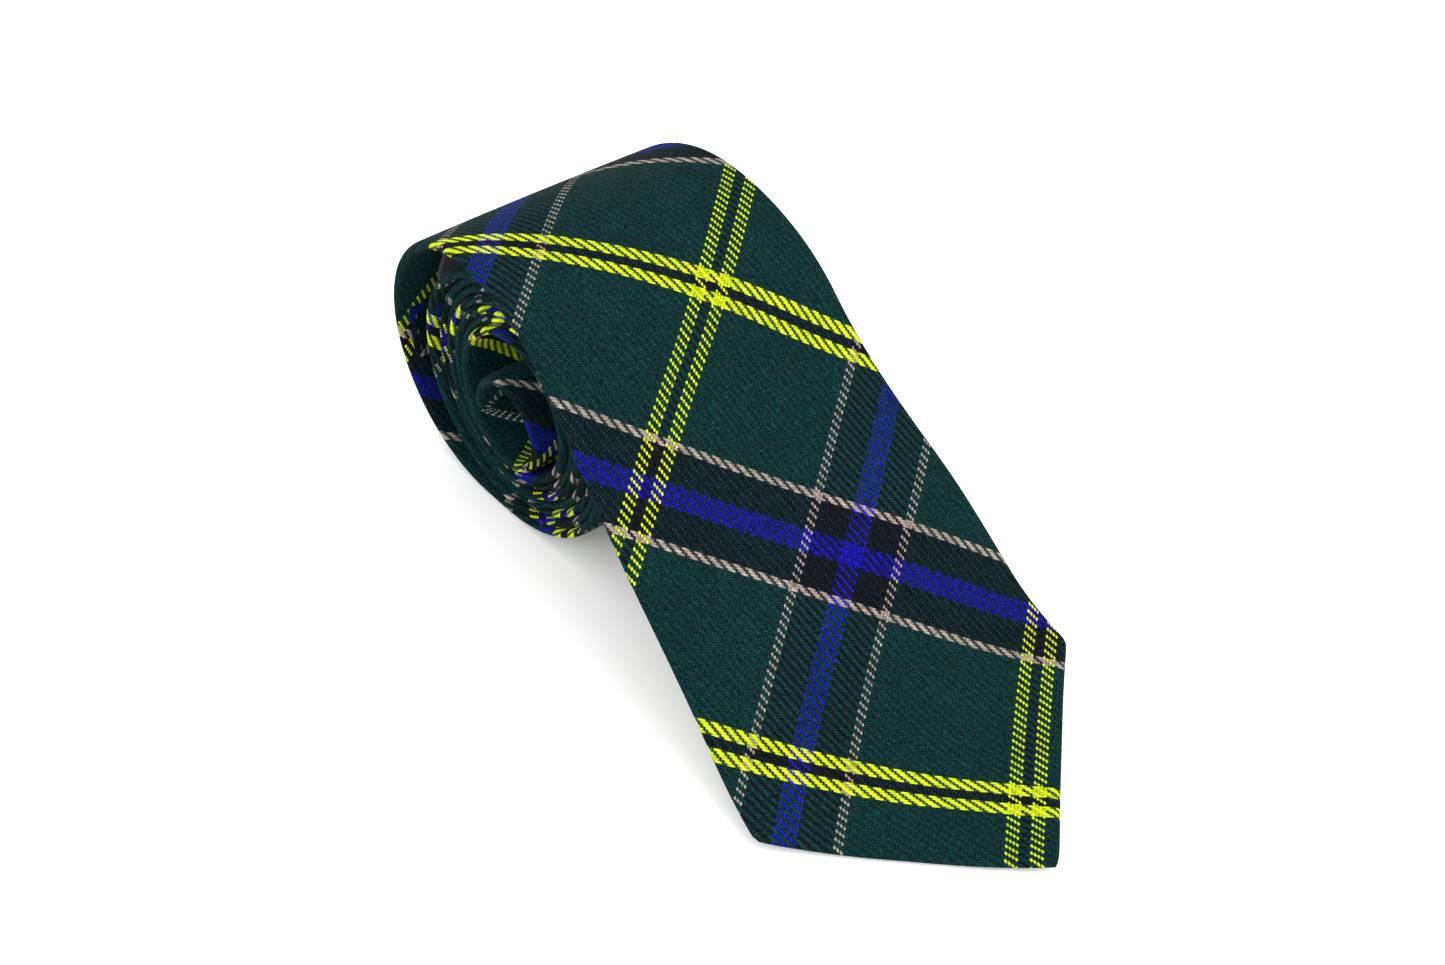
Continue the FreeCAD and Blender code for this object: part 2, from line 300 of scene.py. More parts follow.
def freeze(piece):
    """Apply the piece's modifiers."""
    bpy.context.view_layer.update()
    graph = bpy.context.evaluated_depsgraph_get()
    mesh = bpy.data.meshes.new_from_object(piece.evaluated_get(graph), depsgraph=graph)
    piece.modifiers.clear()
    piece.data = mesh


def recalculate_normals(piece):
    """Turn all faces of a closed mesh outwards."""
    work = bmesh.new()
    work.from_mesh(piece.data)
    bmesh.ops.recalc_face_normals(work, faces=work.faces)
    work.to_mesh(piece.data)
    work.free()


def finish_piece(piece, nodes):
    """Tie a piece to the frame: its body and the CAD nodes that it stands for."""
    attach(piece, BODY)
    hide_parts(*nodes)


# ---- The tartan's place on the cloth ----
REPEAT = 95.7                          # the sett's repeat, across the ends and across the picks
SKEW = math.radians(-0.72)             # the cloth was cut a little off the true bias
END_ORIGIN = 102.95                    # the places of the cloth that lie at the blade's drawn point
PICK_ORIGIN = 112.44


def cloth_axes(across, along_tie):
    """Places across the ends and across the picks for a point of the flat cut."""
    across, along_tie = np.broadcast_arrays(across, along_tie)
    u = across * math.cos(SKEW) + along_tie * math.sin(SKEW)
    v = -across * math.sin(SKEW) + along_tie * math.cos(SKEW)
    ends = END_ORIGIN + 0.5 * (u / math.sin(BIAS) - v / math.cos(BIAS))
    picks = PICK_ORIGIN + 0.5 * (-u / math.sin(BIAS) - v / math.cos(BIAS))
    return np.stack([ends, picks], axis=-1)


# ---- The folded shell ----
ROW_STEP = 1.5                         # mesh rows along the tie
TIP_ROWS = [0.0, 0.03, 0.1, 0.22, 0.4, 0.65, 1.0, 1.45, 2.0, 2.7, 3.6, 4.7]
TIP_ROWS_END = 5.6
FRONT_POINTS = 15
FOLD_POINTS = 11
FLAP_POINTS = 12
FLAP_SPACING = 0.9                     # below 1, the flap's points are closer together at the seam
FOLD_RADIUS = 1.7                      # how deep the rounded folds at the edges are
WIDEST_FOLD = 0.85                     # and the most of the half width that they may take
LAPPED = (93.0, 107.0), (134.0, 146.0)     # where the seam lies free, one flap laps over the other
RAISED = (87.0, 95.0), (145.0, 156.0)      # and is raised over it
LAP_LIFT = 0.6
LAP_PRESS = 0.02                       # the flap beneath is pressed down
LAP_WIDTH = (1.0, 6.0)                 # how far from the seam's middle the lift goes
OVER_REACH, UNDER_REACH = 1.6, 0.4     # how far the two flaps are drawn across the middle
BUTT_DIP, BUTT_WIDTH = 0.03, 0.9       # elsewhere their edges meet and turn in a little
LEAST_FULLNESS = 0.04                  # the share of its thickness that the cloth keeps at the very point


def row_stations(first, last):
    """Mesh rows: close together at the tips and even between."""
    count = max(2, int(round((last - first) / ROW_STEP)) + 1)
    rows = list(np.linspace(first, last, count))
    if first < TIP_ROWS_END:
        rows = [first + r for r in TIP_ROWS] + [r for r in rows if r > first + TIP_ROWS_END]
    if last > LENGTH - TIP_ROWS_END:
        rows = [r for r in rows if r < last - TIP_ROWS_END] + [last - r for r in reversed(TIP_ROWS)]
    return np.array(rows)


def fold_half(s, side):
    """One side of the folded section: x, n, the length of cloth from the centre, and that at the fold."""
    width = half_width(s)[:, None]
    slant = edge_slant(s)[:, None]
    gap = back_gap(s)[:, None]
    lap = window(s, *LAPPED)[:, None]
    raised = window(s, *RAISED)[:, None]
    over = side > 0

    reach = np.minimum(FOLD_RADIUS / np.cos(slant), WIDEST_FOLD * width)
    inner = width - reach
    front = np.linspace(0.0, 1.0, FRONT_POINTS)[None, :]
    turn = np.linspace(0.0, math.pi, FOLD_POINTS)[None, 1:]
    flap = np.linspace(0.0, 1.0, FLAP_POINTS)[None, 1:] ** FLAP_SPACING

    flap_end = gap - lap * (OVER_REACH + gap) if over else gap - UNDER_REACH * lap
    flap_x = inner + (flap_end - inner) * flap
    near_seam = 1.0 - smooth(*LAP_WIDTH, np.abs(flap_x))
    butted = (1.0 - lap) * (1.0 - smooth(0.0, BUTT_WIDTH, flap_x - flap_end))
    flap_n = STACK + raised * near_seam * (LAP_LIFT if over else -LAP_PRESS) - BUTT_DIP * butted

    level = np.zeros_like(inner)
    half = STACK / 2.0
    x = np.concatenate([inner * front, inner + reach * np.sin(turn), flap_x], axis=1)
    n = np.concatenate([level * front, level + half - half * np.cos(turn), flap_n], axis=1)
    steps = np.hypot(np.diff(x, axis=1), np.diff(n, axis=1))
    run = np.concatenate([level, np.cumsum(steps, axis=1)], axis=1)
    apex = FRONT_POINTS - 1 + (FOLD_POINTS - 1) // 2
    return side * x, n, run, run[:, apex:apex + 1], slant


def make_shell(name, first, last, material):
    """A stretch of the shell, folded round both edges, with its cloth lying on the straight threads."""
    s = row_stations(first, last)
    halves = []
    for side in (-1, 1):
        x, n, run, apex, slant = fold_half(s, side)
        beyond = np.maximum(run - apex, 0.0)
        across = side * (np.minimum(run, apex) + beyond * np.cos(2.0 * slant))
        lengthwise = s[:, None] - beyond * np.sin(2.0 * slant)
        halves.append((x, n, across, lengthwise))
    x, n, across, lengthwise = (np.concatenate([a[:, :0:-1], b], axis=1) for a, b in zip(*halves))
    points = place(s[:, None], x, n).reshape(-1, 3)
    uv = cloth_axes(across, lengthwise).reshape(-1, 2)
    rows, columns = x.shape
    piece = add_object(name, points, grid_faces(rows, columns), material, uv)
    group = piece.vertex_groups.new(name="cloth")
    for row, fullness in enumerate(np.clip(half_width(s) / TIP_THINNING, LEAST_FULLNESS, 1.0)):
        group.add(list(range(row * columns, (row + 1) * columns)), float(fullness), "REPLACE")
    weld(piece)
    thicken(piece, SHELL, group.name)
    freeze(piece)
    return piece


# ---- The flat layers inside it ----
def make_layer(name, first, last, depths, material, step, columns):
    """A flat layer inside the shell, closed all round, with rounded sides."""
    low, high = depths
    least_half, side_steepness = 0.15, 40.0
    s = np.linspace(first, last, int((last - first) / step) + 2)
    half = np.maximum(half_width(s) - LAYER_INSET / np.cos(edge_slant(s)), least_half)[:, None]
    middle, thick = (low + high) / 2.0, (high - low) / 2.0
    t = np.linspace(-1.0, 1.0, columns)[None, :]
    soft = thick * np.sqrt(np.clip((1.0 - t ** 2) * side_steepness, 0.0, 1.0))
    section = np.concatenate([middle - soft, middle + soft[:, -2:0:-1]], axis=1)
    x = half * np.concatenate([t, t[:, -2:0:-1]], axis=1)
    points = place(s[:, None], x, section).reshape(-1, 3)
    uv = np.stack(np.broadcast_arrays(x, s[:, None]), axis=-1).reshape(-1, 2)
    return add_object(name, points, tube_faces(*x.shape), material, uv)


# ---- Threads ----
END_REACH, END_SIZE = 0.6, 0.45        # a thread's rounded end, as shares of its radius
STITCH_POINTS = 7
STITCH_DEPTH = 0.25                    # how far a stitch dives into the cloth


def tube(points, radius, sides):
    """Vertices and faces of a thread along the points, with rounded ends."""
    points = np.asarray(points, float)
    tangents = np.gradient(points, axis=0)
    tangents /= np.linalg.norm(tangents, axis=1, keepdims=True)
    mean = tangents.mean(axis=0)
    upright = abs(mean[2]) >= 0.8 * np.linalg.norm(mean)
    aside = np.array([0.9, 0.3, 0.1]) if upright else np.array([0.31, 0.22, 0.92])
    side_axis = np.cross(tangents, aside)
    side_axis /= np.linalg.norm(side_axis, axis=1, keepdims=True)
    other_axis = np.cross(side_axis, tangents)

    start = points[:1] - tangents[:1] * radius * END_REACH
    end = points[-1:] + tangents[-1:] * radius * END_REACH
    centres = np.concatenate([start, points, end])
    side_axis, other_axis = (np.pad(axis, ((1, 1), (0, 0)), mode="edge") for axis in (side_axis, other_axis))
    radii = np.full(len(centres), radius)
    radii[[0, -1]] = radius * END_SIZE
    angle = np.linspace(0.0, 2.0 * math.pi, sides, endpoint=False)[None, :, None]
    ring = np.cos(angle) * side_axis[:, None, :] + np.sin(angle) * other_axis[:, None, :]
    vertices = centres[:, None, :] + ring * radii[:, None, None]
    return vertices.reshape(-1, 3), tube_faces(len(centres), sides)


def make_threads(name, runs, material, node, radius, sides=8):
    """One piece made of one or more runs of thread."""
    vertices, faces, start = [], [], 0
    for run in runs:
        more, quads = tube(run, radius * MM, sides)
        vertices.append(more)
        faces += [tuple(i + start for i in f) for f in quads]
        start += len(more)
    piece = add_object(name, np.concatenate(vertices), faces, material)
    recalculate_normals(piece)
    finish_piece(piece, [node])


def stitch_run(s, x, low, length, lift=0.12, slant=0.0):
    """A short stitch that dives into the cloth at both ends."""
    t = np.linspace(0.0, 1.0, STITCH_POINTS)
    n = low - STITCH_DEPTH + (STITCH_DEPTH + lift) * np.sin(math.pi * t) ** 0.6
    return place(s + length * t, x + slant * (t - 0.5), n)


# ---- Materials ----
NOISE_LOW, NOISE_HIGH = 0.3, 0.7       # what most of a noise's values lie between


def linear(r, g, b):
    """A colour given as it looks on screen, 0 to 255."""
    values = [c / 255.0 for c in (r, g, b)]
    return tuple(c / 12.92 if c <= 0.04045 else ((c + 0.055) / 1.055) ** 2.4 for c in values) + (1.0,)


class Nodes:
    """A short way to write a material's nodes."""

    def __init__(self, name):
        self.material = bpy.data.materials.new(name)
        self.material.use_nodes = True
        self.tree = self.material.node_tree
        self.tree.nodes.clear()
        self.output = self.new("OutputMaterial")
        self.shader = self.new("BsdfPrincipled")
        self.tree.links.new(self.shader.outputs["BSDF"], self.output.inputs["Surface"])

    def new(self, kind):
        return self.tree.nodes.new("ShaderNode" + kind)

    def put(self, socket, value):
        """Link a socket to another node's output, or set it to a value."""
        if isinstance(value, bpy.types.NodeSocket):
            self.tree.links.new(value, socket)
        elif value is not None:
            socket.default_value = value

    def fill(self, node, values):
        """Put values into a node's first inputs and return its first output."""
        for socket, value in zip(node.inputs, values):
            self.put(socket, value)
        return node.outputs[0]

    def math(self, operation, *values):
        node = self.new("Math")
        node.operation = operation
        return self.fill(node, values)

    def add(self, a, b):
        return self.math("ADD", a, b)

    def subtract(self, a, b):
        return self.math("SUBTRACT", a, b)

    def times(self, a, b):
        return self.math("MULTIPLY", a, b)

    def sine(self, a):
        return self.math("SINE", a)

    def choose(self, switch, a, b):
        """a where the switch is 1, and b where it's 0."""
        return self.add(self.times(switch, a), self.times(self.subtract(1.0, switch), b))

    def combine(self, x, y, z=0.0):
        return self.fill(self.new("CombineXYZ"), (x, y, z))

    def separate(self, vector):
        node = self.new("SeparateXYZ")
        self.fill(node, (vector,))
        return tuple(node.outputs)

    def noise(self, vector, scale, detail=2.0, roughness=0.5):
        node = self.new("TexNoise")
        self.put(node.inputs["Vector"], vector)
        node.inputs["Scale"].default_value = scale
        node.inputs["Detail"].default_value = detail
        node.inputs["Roughness"].default_value = roughness
        return node.outputs["Fac"]

    def remap(self, value, low, high, to_low, to_high):
        return self.fill(self.new("MapRange"), (value, low, high, to_low, to_high))

    def spread(self, noise, to_low, to_high):
        """A noise stretched over a range."""
        return self.remap(noise, NOISE_LOW, NOISE_HIGH, to_low, to_high)

    def mix(self, factor, a, b, blend="MIX"):
        node = self.new("Mix")
        node.data_type = "RGBA"
        node.blend_type = blend
        for index, value in ((0, factor), (6, a), (7, b)):
            self.put(node.inputs[index], value)
        return node.outputs[2]

    def shade(self, noise, dark, light):
        """A colour between two, as a noise says."""
        return self.mix(self.spread(noise, 0.0, 1.0), dark, light)

    def luminance(self, colour):
        return self.fill(self.new("RGBToBW"), (colour,))

    def bands(self, value, stops):
        """The colour of the last stop that the value has reached."""
        node = self.new("ValToRGB")
        ramp = node.color_ramp
        ramp.interpolation = "CONSTANT"
        while len(ramp.elements) < len(stops):
            ramp.elements.new(1.0)
        for element, (position, colour) in zip(ramp.elements, stops):
            element.position = position
            element.color = colour
        return self.fill(node, (value,))

    def bump(self, height, distance, strength):
        """A normal raised by a height, with a distance in metres."""
        node = self.new("Bump")
        node.inputs["Strength"].default_value = strength
        node.inputs["Distance"].default_value = distance
        self.put(node.inputs["Height"], height)
        return node.outputs["Normal"]

    def cloth_uv(self):
        node = self.new("UVMap")
        node.uv_map = "cloth"
        return self.separate(node.outputs["UV"])[:2]

    def position(self):
        return self.new("TexCoord").outputs["Object"]

    def surface(self, colour, roughness, normal=None, specular=0.2, sheen=0.0, sheen_roughness=0.5):
        """Set the shader and return the finished material."""
        self.put(self.shader.inputs["Base Color"], colour)
        self.put(self.shader.inputs["Roughness"], roughness)
        self.put(self.shader.inputs["Normal"], normal)
        self.shader.inputs["Specular IOR Level"].default_value = specular
        self.shader.inputs["Sheen Weight"].default_value = sheen
        self.shader.inputs["Sheen Roughness"].default_value = sheen_roughness
        return self.material


END_PITCH = REPEAT / 132.0
PICK_PITCH = REPEAT / 208.0
PICK_COVER = 1.02                      # how far the picks hide the ends between them
PICK_LIFT = 0.3                        # how much higher a pick counts where it is on top
END_ROUNDNESS, PICK_ROUNDNESS = 1.0, 0.35

NAVY = linear(12, 17, 23)
YELLOW = linear(164, 181, 24)
GREEN = linear(4, 37, 36)
GREY = linear(122, 111, 104)
BLUE = linear(20, 17, 146)
DULL_BLUE = linear(14, 12, 108)


def sett(blue):
    """Where each colour begins, in millimetres from the sett's first pivot to its second."""
    return [(0.0, NAVY), (1.15, YELLOW), (4.02, GREEN), (35.8, GREY), (38.1, NAVY), (45.3, blue)]


def thread_colour(nodes, index, pitch, blue):
    """The colour of a thread by its number: the sett runs from pivot to pivot and back."""
    half_repeat = REPEAT / 2.0
    folded = nodes.math("PINGPONG", nodes.times(index, pitch), half_repeat)
    share = nodes.math("DIVIDE", folded, half_repeat)
    return nodes.bands(share, [(at / half_repeat, colour) for at, colour in sett(blue)])


def thread_height(nodes, phase, sign, off_centre, roundness):
    """How high a thread stands: a wave over two and under two, and a round back."""
    wave = nodes.sine(nodes.times(nodes.add(phase, 0.5), math.pi / 2.0))
    square = nodes.math("POWER", nodes.math("ABSOLUTE", off_centre), 2.0)
    return nodes.add(nodes.times(wave, sign), nodes.times(square, -4.0 * roundness))


def thread_fibres(nodes, u, v, seed):
    """Light and dark fibres drawn out along a thread."""
    return nodes.spread(nodes.noise(nodes.combine(u, v, seed), 1.0, 3.0, 0.6), 0.5, 1.5)


def tartan_material():
    """A 2/2 wool twill, thread by thread: the sett gives each thread's colour."""
    nodes = Nodes("tartan_wool_twill")
    ends, picks = nodes.cloth_uv()
    u = nodes.math("DIVIDE", ends, END_PITCH)
    v = nodes.math("DIVIDE", picks, PICK_PITCH)
    end = nodes.math("FLOOR", nodes.add(u, 0.5))
    pick = nodes.math("FLOOR", nodes.add(v, 0.5))

    end_height = thread_height(nodes, nodes.subtract(end, v), 1.0, nodes.subtract(u, end), END_ROUNDNESS)
    pick_height = thread_height(nodes, nodes.subtract(u, pick), -1.0, nodes.subtract(v, pick), PICK_ROUNDNESS)
    end_on_top = nodes.math("GREATER_THAN", end_height, nodes.add(pick_height, PICK_COVER))
    height = nodes.choose(end_on_top, end_height, nodes.add(pick_height, PICK_LIFT))

    across, lengthwise = 3.7, 0.55     # how fast the fibres change from thread to thread and along one
    end_fibres = thread_fibres(nodes, nodes.times(end, across), nodes.times(v, lengthwise), 4.0)
    pick_fibres = thread_fibres(nodes, nodes.times(u, lengthwise), nodes.times(pick, across), 9.0)
    fibres = nodes.choose(end_on_top, end_fibres, pick_fibres)
    # Painted shade and highlight: by its height, a thread is darkened where it dips under the next and at its
    # rounded sides, and lightened on its raised top
    depth = nodes.remap(height, -0.5, 1.0, 0.3, 1.2)
    broad = nodes.spread(nodes.noise(nodes.combine(ends, picks), 0.045), 0.93, 1.07)

    end_colour = thread_colour(nodes, end, END_PITCH, BLUE)
    pick_colour = thread_colour(nodes, pick, PICK_PITCH, DULL_BLUE)
    base = nodes.mix(end_on_top, pick_colour, end_colour)
    level = nodes.luminance(base)
    # Random light and dark speckle: partly the yarn's own melange, partly painted highlight and shade
    # standing in for the twill's small crossings; weaker on the lighter colours
    melange_and_shine_speckle = nodes.noise(nodes.combine(ends, picks, 3.0), 2.6, 3.0, 0.8)
    melange_and_shine_speckle = nodes.remap(melange_and_shine_speckle, 0.36, 0.64, -0.85, 0.85)
    melange_and_shine_speckle = nodes.times(melange_and_shine_speckle, nodes.remap(level, 0.03, 0.2, 1.0, 0.2))
    value = nodes.times(nodes.times(nodes.times(fibres, depth), broad), nodes.add(melange_and_shine_speckle, 1.0))
    colour = nodes.mix(1.0, base, nodes.combine(value, value, value), "MULTIPLY")

    warm = nodes.noise(nodes.combine(ends, picks, 17.0), 2.2, 2.0, 0.8)
    warm = nodes.remap(warm, 0.42, 0.68, 0.0, 0.0055)
    warm = nodes.times(warm, nodes.remap(level, 0.006, 0.014, 0.25, 1.0))
    warm_colour = nodes.combine(warm, nodes.times(warm, 0.25), nodes.times(warm, 0.3))
    colour = nodes.mix(1.0, colour, warm_colour, "ADD")

    nap = nodes.noise(nodes.combine(ends, picks), 6.0, 4.0, 0.7)
    normal = nodes.bump(nodes.add(nodes.times(height, 0.5), nodes.times(nap, 0.35)), 0.00016, 0.8)
    roughness = nodes.spread(nap, 0.82, 0.96)
    return nodes.surface(colour, roughness, normal, specular=0.02, sheen=0.012, sheen_roughness=0.4)


def lining_material():
    """Plain dark lining in a fine weave with a slight sheen."""
    nodes = Nodes("dark_lining")
    across, lengthwise = nodes.cloth_uv()
    weave = nodes.times(nodes.sine(nodes.times(across, 21.0)), nodes.sine(nodes.times(lengthwise, 17.0)))
    slub = nodes.noise(nodes.combine(nodes.times(across, 0.15), lengthwise, 2.0), 0.9, 3.0)
    colour = nodes.shade(slub, linear(15, 19, 29), linear(27, 33, 45))
    height = nodes.add(nodes.times(weave, 0.5), nodes.times(slub, 0.6))
    normal = nodes.bump(height, 0.00004, 0.6)
    return nodes.surface(colour, nodes.spread(slub, 0.42, 0.55), normal, specular=0.2, sheen=0.04)


def interlining_material():
    """Napped off-white wool-blend canvas."""
    nodes = Nodes("interlining_canvas")
    across, lengthwise = nodes.cloth_uv()
    weave = nodes.add(nodes.sine(nodes.times(across, 6.0)), nodes.sine(nodes.times(lengthwise, 6.0)))
    nap = nodes.noise(nodes.combine(across, lengthwise), 2.2, 5.0, 0.7)
    colour = nodes.shade(nap, linear(205, 198, 182), linear(232, 227, 214))
    normal = nodes.bump(nodes.add(nodes.times(weave, 0.25), nap), 0.00015, 0.8)
    return nodes.surface(colour, nodes.spread(nap, 0.85, 0.98), normal, specular=0.15, sheen=0.2)


def thread_material(name, dark, light):
    """Spun sewing thread with a twist."""
    nodes = Nodes(name)
    spot = nodes.position()
    x, y, z = nodes.separate(spot)
    twist = nodes.sine(nodes.times(nodes.add(nodes.add(x, y), z), 19000.0))
    fluff = nodes.noise(spot, 5200.0, 3.0, 0.6)
    level = nodes.add(nodes.times(twist, 0.25), fluff)
    colour = nodes.mix(nodes.remap(level, 0.2, 0.85, 0.0, 1.0), dark, light)
    normal = nodes.bump(level, 0.00006, 0.7)
    return nodes.surface(colour, nodes.spread(fluff, 0.55, 0.75), normal, specular=0.3, sheen=0.15)


def label_material():
    """A blank woven label with a fine satin ground."""
    nodes = Nodes("woven_label")
    across, lengthwise = nodes.cloth_uv()
    rib = nodes.sine(nodes.times(lengthwise, 16.0))
    stagger = nodes.sine(nodes.add(nodes.times(across, 24.0), nodes.times(lengthwise, 8.0)))
    grain = nodes.noise(nodes.combine(across, nodes.times(lengthwise, 0.2)), 3.0, 3.0)
    colour = nodes.shade(grain, linear(38, 39, 46), linear(58, 60, 68))
    normal = nodes.bump(nodes.add(nodes.times(rib, 0.5), nodes.times(stagger, 0.3)), 0.00004, 0.7)
    return nodes.surface(colour, nodes.spread(grain, 0.35, 0.5), normal, specular=0.45, sheen=0.1)


tartan = tartan_material()
lining = lining_material()
canvas = interlining_material()
dark_thread = thread_material("dark_green_thread", linear(14, 34, 32), linear(30, 66, 62))
label_thread = thread_material("black_thread", linear(18, 19, 22), linear(44, 45, 50))
label_cloth = label_material()

# ---- The shell in its three cut pieces ----
PIECING_HALF_GAP = 0.12
SHELLS = {
    "blade_shell": (TIP_ROUND, PIECING_BLADE - PIECING_HALF_GAP),
    "neck_gusset": (PIECING_BLADE + PIECING_HALF_GAP, PIECING_TAIL - PIECING_HALF_GAP),
    "tail_shell": (PIECING_TAIL + PIECING_HALF_GAP, LENGTH - TIP_ROUND),
}


for node, (first, last) in SHELLS.items():
    shell = make_shell(node + "_cloth", first, last, tartan)
    finish_piece(shell, [node])

# ---- What lies inside it ----
LAYER_END = 4.5                        # how far the inner layers stop short of the tips
TIPPING_BLADE_END = 110.0
TIPPING_TAIL_START = SEAM_END - 15.0

core = make_layer("interlining_canvas", LAYER_END, LENGTH - LAYER_END, (CORE_LOW, CORE_HIGH), canvas,
                  step=1.2, columns=13)
finish_piece(core, ["interlining"])

tipping_depths = (TIPPING_LOW, TIPPING_HIGH)
front_tipping = make_layer("blade_tipping_lining", LAYER_END, TIPPING_BLADE_END, tipping_depths, lining,
                           step=1.5, columns=41)
finish_piece(front_tipping, ["blade_tipping"])

end_tipping = make_layer("tail_tipping_lining", TIPPING_TAIL_START, LENGTH - LAYER_END, tipping_depths,
                         lining, step=0.8, columns=21)
finish_piece(end_tipping, ["tail_tipping"])

# ---- Seams ----
SLIP_STEP, SLIP_WANDER, SLIP_DEPTH = 1.6, 0.22, 0.36
TACK_THREADS, TACK_STEP, TACK_HALF = 19, 0.42, 3.8
TACK_LENGTH, TACK_RISE = 1.7, 0.12
PIECING_STEP, PIECING_WANDER, PIECING_DEPTH = 0.7, 0.1, 0.42


def make_slip_stitch():
    """The long thread inside the back seam, swaying from flap to flap."""
    s = np.arange(SEAM_BEGIN + 2.0, SEAM_END - 2.0, SLIP_STEP)
    x = SLIP_WANDER * np.sign(np.sin(s * math.pi / (2.0 * SLIP_STEP) + 0.4))
    run = place(s, x, STACK - SLIP_DEPTH)
    make_threads("back_seam_slip_stitch", [run], dark_thread, "slip_stitch_thread", radius=0.16, sides=6)


def make_bar_tack(name, middle, node):
    """A satin-stitched bar: many short threads side by side."""
    runs = []
    for k in range(TACK_THREADS):
        uneven = 0.12 * math.sin(k * 2.3)
        start = middle - TACK_LENGTH / 2.0 + uneven
        x = k * TACK_STEP - TACK_HALF
        runs.append(stitch_run(start, x, STACK + TACK_RISE, TACK_LENGTH, lift=0.2, slant=0.25))
    make_threads(name, runs, dark_thread, node, radius=0.21)


def make_piecing(name, at, node):
    """The seam that joins two cut pieces, as a run of small stitches inside the joint."""
    half = float(half_width(at)) - LAYER_INSET
    x = np.arange(-half, half, PIECING_STEP)
    weave = PIECING_WANDER * np.sign(np.sin(np.arange(len(x)) * math.pi + 0.5))
    make_threads(name, [place(at + weave, x, PIECING_DEPTH)], dark_thread, node, radius=0.15, sides=6)


make_slip_stitch()
make_bar_tack("blade_bar_tack_thread", SEAM_BEGIN + 0.6, "blade_bar_tack")
make_bar_tack("tail_bar_tack_thread", SEAM_END - 0.6, "tail_bar_tack")
make_piecing("blade_piecing_thread", PIECING_BLADE, "blade_piecing_seam")
make_piecing("tail_piecing_thread", PIECING_TAIL, "tail_piecing_seam")

# ---- Keeper loop and labels on the back ----
KEEPER_START, KEEPER_WIDTH = 226.0, 14.0
KEEPER_RISE, KEEPER_CLOTH = 1.0, 0.5
KEEPER_FOOT = 5.0                      # how far in from each end it lies on the back
KEEPER_SLOPE = 5.0                     # and over what length it then rises
KEEPER_EDGE, KEEPER_EDGE_DIP = 1.2, 0.05
KEEPER_CUT = (17.0, 260.0)             # how far across and along the cloth its strip was cut
KEEPER_END = float(half_width(KEEPER_START)) - 3.0
KEEPER_STITCHES = [2.0, 6.4, 10.8]
LABEL_LIFT, LABEL_CLOTH = 0.32, 0.25
LABEL_EDGE, LABEL_EDGE_DIP, LABEL_RIPPLE = 0.8, 0.08, 0.02
MAKER_START, MAKER_HEIGHT, MAKER_HALF = 203.0, 17.0, 21.0
CARE_START, CARE_HEIGHT, CARE_HALF = 250.0, 16.0, 9.0
MAKER_STITCHES, MAKER_STITCH_STEP = 5, 3.4


def add_sheet(name, x, s, n, uv, thickness, material):
    """A thin sheet on the back of the tie, facing out of the back."""
    x, s, n = np.broadcast_arrays(x, s, n)
    faces = grid_faces(*x.shape)[:, ::-1]
    piece = add_object(name, place(s, x, n).reshape(-1, 3), faces, material, uv.reshape(-1, 2))
    thicken(piece, thickness)
    freeze(piece)
    return piece


def make_keeper():
    """The keeper: a hemmed strip of shell cloth that stands off the back between its two sewn feet."""
    x = np.linspace(-KEEPER_END, KEEPER_END, 61)[None, :]
    s = KEEPER_START + np.linspace(0.0, KEEPER_WIDTH, 15)[:, None]
    rise = KEEPER_RISE * smooth(0.0, KEEPER_SLOPE, KEEPER_END - KEEPER_FOOT - np.abs(x))
    edge = np.minimum(s - KEEPER_START, KEEPER_START + KEEPER_WIDTH - s)
    n = SKIN + KEEPER_CLOTH + rise - KEEPER_EDGE_DIP * (1.0 - smooth(0.0, KEEPER_EDGE, edge))
    uv = cloth_axes(x + KEEPER_CUT[0], s + KEEPER_CUT[1])
    piece = add_sheet("keeper_loop_cloth", x, s, n, uv, KEEPER_CLOTH, tartan)
    finish_piece(piece, ["keeper_loop"])


def make_label(name, start, height, half, node):
    """A blank label with its ends turned under."""
    x = np.linspace(-half, half, 29)[None, :]
    s = start + np.linspace(0.0, height, 13)[:, None]
    edge = np.minimum(half - np.abs(x), np.minimum(s - start, start + height - s))
    ripple = LABEL_RIPPLE * np.sin(x * 0.9) * np.cos(s * 0.7)
    n = SKIN + LABEL_LIFT - LABEL_EDGE_DIP * (1.0 - smooth(0.0, LABEL_EDGE, edge)) + ripple
    uv = np.stack(np.broadcast_arrays(x, s - start), axis=-1)
    piece = add_sheet(name, x, s, n, uv, LABEL_CLOTH, label_cloth)
    finish_piece(piece, [node])


def both_sides(places, start, x, low, length):
    """Short stitches at places along the tie, on its left and its right."""
    return [stitch_run(start + at, side * x, low, length) for at in places for side in (-1, 1)]


make_keeper()
make_label("maker_label_blank", MAKER_START, MAKER_HEIGHT, MAKER_HALF, "maker_label")
make_label("care_label_blank", CARE_START, CARE_HEIGHT, CARE_HALF, "care_label")

keeper_runs = both_sides(KEEPER_STITCHES, KEEPER_START, KEEPER_END - 1.5, SKIN + KEEPER_CLOTH, 1.6)
make_threads("keeper_stitch_threads", keeper_runs, dark_thread, "keeper_stitches", radius=0.16)

label_places = [MAKER_STITCH_STEP * k for k in range(MAKER_STITCHES)]
label_runs = both_sides(label_places, MAKER_START + 1.0, MAKER_HALF - 1.0, SKIN + LABEL_LIFT, 1.3)
make_threads("label_stitch_threads", label_runs, label_thread, "maker_label_stitches", radius=0.14)

# ---- Hem stitches round the tips ----
HEM_STITCH_STEP = 2.6
HEM_STITCH_SLANT = 0.9
HEM_STITCH_ON, HEM_STITCH_OFF = 0.55, 0.5      # how far a stitch reaches onto the hem and off it
LEAST_OPENING = 1.0


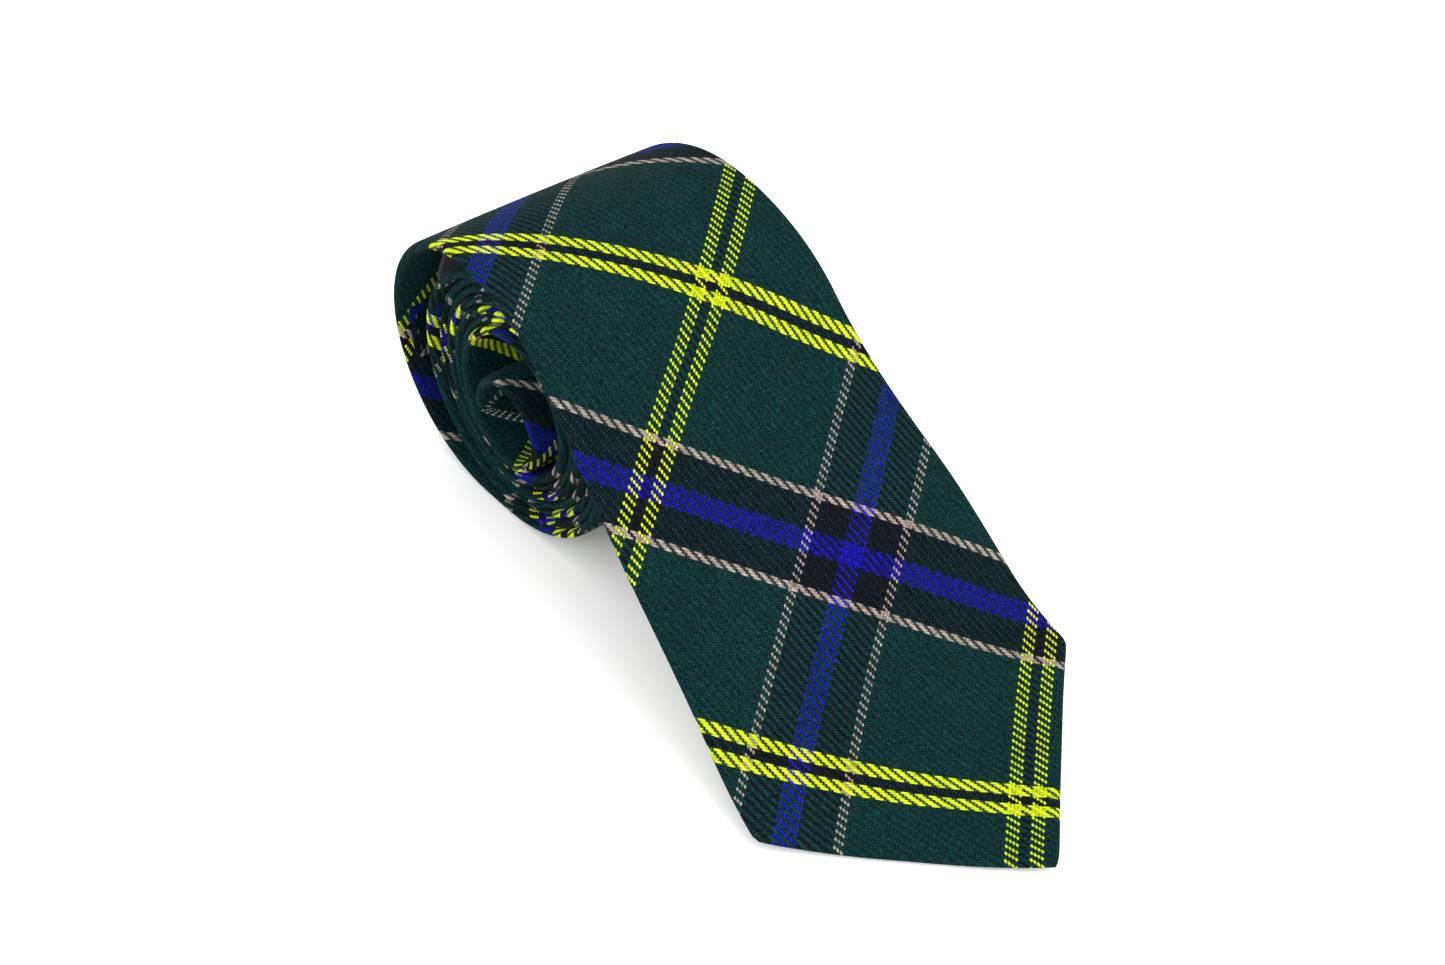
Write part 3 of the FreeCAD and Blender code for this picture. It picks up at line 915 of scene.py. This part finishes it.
def hem_stitches(name, first, last, node):
    """Small slanted stitches along the turned-back hem's inner edges, over its tipping."""
    runs = []
    t = np.linspace(0.0, 1.0, STITCH_POINTS)
    n = np.where(t < 0.5, STACK + 0.06, TIPPING_HIGH + 0.12)
    n = n - 0.2 * np.abs(2.0 * t - 1.0) ** 3 + 0.05 * np.sin(math.pi * t)
    for at in np.arange(first, last, HEM_STITCH_STEP):
        opening = float(back_gap(at))
        if opening < LEAST_OPENING:
            continue
        x = np.linspace(opening + HEM_STITCH_ON, opening - HEM_STITCH_OFF, STITCH_POINTS)
        runs += [place(at + HEM_STITCH_SLANT * t, side * x, n) for side in (-1, 1)]
    make_threads(name, runs, dark_thread, node, radius=0.15, sides=6)


hem_stitches("blade_hem_stitches", HEM_POINT + 3.0, SEAM_BEGIN - 3.0, "blade_tipping_stitches")
hem_stitches("tail_hem_stitches", SEAM_END + 3.0, TAIL_HEM_POINT - 2.0, "tail_tipping_stitches")

# ---- Floor, light and camera, in metres ----
FLOOR_HALF = 2.5
WORLD_STRENGTH = 1.5
LIT_PLACE = (0.0, 0.0, 0.02)
CAMERA_PLACE = (-0.23985, -0.22455, 0.34746)
CAMERA_RIGHT = (0.76062, -0.64258, 0.09245)
CAMERA_UP = (0.39785, 0.57391, 0.71579)
CAMERA_LENS = 53.885


def add_floor():
    """A pale, matt floor with a faint mottle."""
    nodes = Nodes("pale_floor")
    mottle = nodes.noise(nodes.position(), 3.0)
    nodes.surface(nodes.mix(mottle, (0.96, 0.96, 0.96, 1.0), (0.98, 0.98, 0.98, 1.0)), 0.9, specular=0.1)
    corners = [(FLOOR_HALF * x, FLOOR_HALF * y, 0.0) for x, y in ((-1, -1), (1, -1), (1, 1), (-1, 1))]
    add_object("floor", corners, [(0, 1, 2, 3)], nodes.material)


def add_world():
    world = bpy.data.worlds.new("studio")
    bpy.context.scene.world = world
    world.use_nodes = True
    background = world.node_tree.nodes["Background"]
    background.inputs["Color"].default_value = (1.0, 1.0, 1.0, 1.0)
    background.inputs["Strength"].default_value = WORLD_STRENGTH


def add_light(name, location, size, power):
    """A round lamp that shines on the tie."""
    data = bpy.data.lights.new(name, "AREA")
    data.shape = "DISK"
    data.size = size
    data.energy = power
    lamp = bpy.data.objects.new(name, data)
    lamp.location = location
    lamp.rotation_euler = (Vector(LIT_PLACE) - Vector(location)).to_track_quat("-Z", "Y").to_euler()
    bpy.context.scene.collection.objects.link(lamp)


def add_camera():
    data = bpy.data.cameras.new("camera")
    data.sensor_fit = "HORIZONTAL"
    data.sensor_width = 36.0
    data.lens = CAMERA_LENS
    data.clip_start = 0.01
    data.clip_end = 20.0
    right = Vector(CAMERA_RIGHT).normalized()
    up = Vector(CAMERA_UP).normalized()
    turned = Matrix((right, up, right.cross(up))).transposed().to_4x4()
    camera = bpy.data.objects.new("camera", data)
    camera.matrix_world = Matrix.Translation(CAMERA_PLACE) @ turned
    bpy.context.scene.collection.objects.link(camera)
    bpy.context.scene.camera = camera


add_floor()
add_world()
add_light("key", (0.35, -0.45, 0.95), size=1.3, power=8.0)
add_light("fill", (-0.9, -0.2, 0.6), size=0.8, power=4.0)
add_camera()
bpy.context.scene.view_settings.view_transform = "Standard"
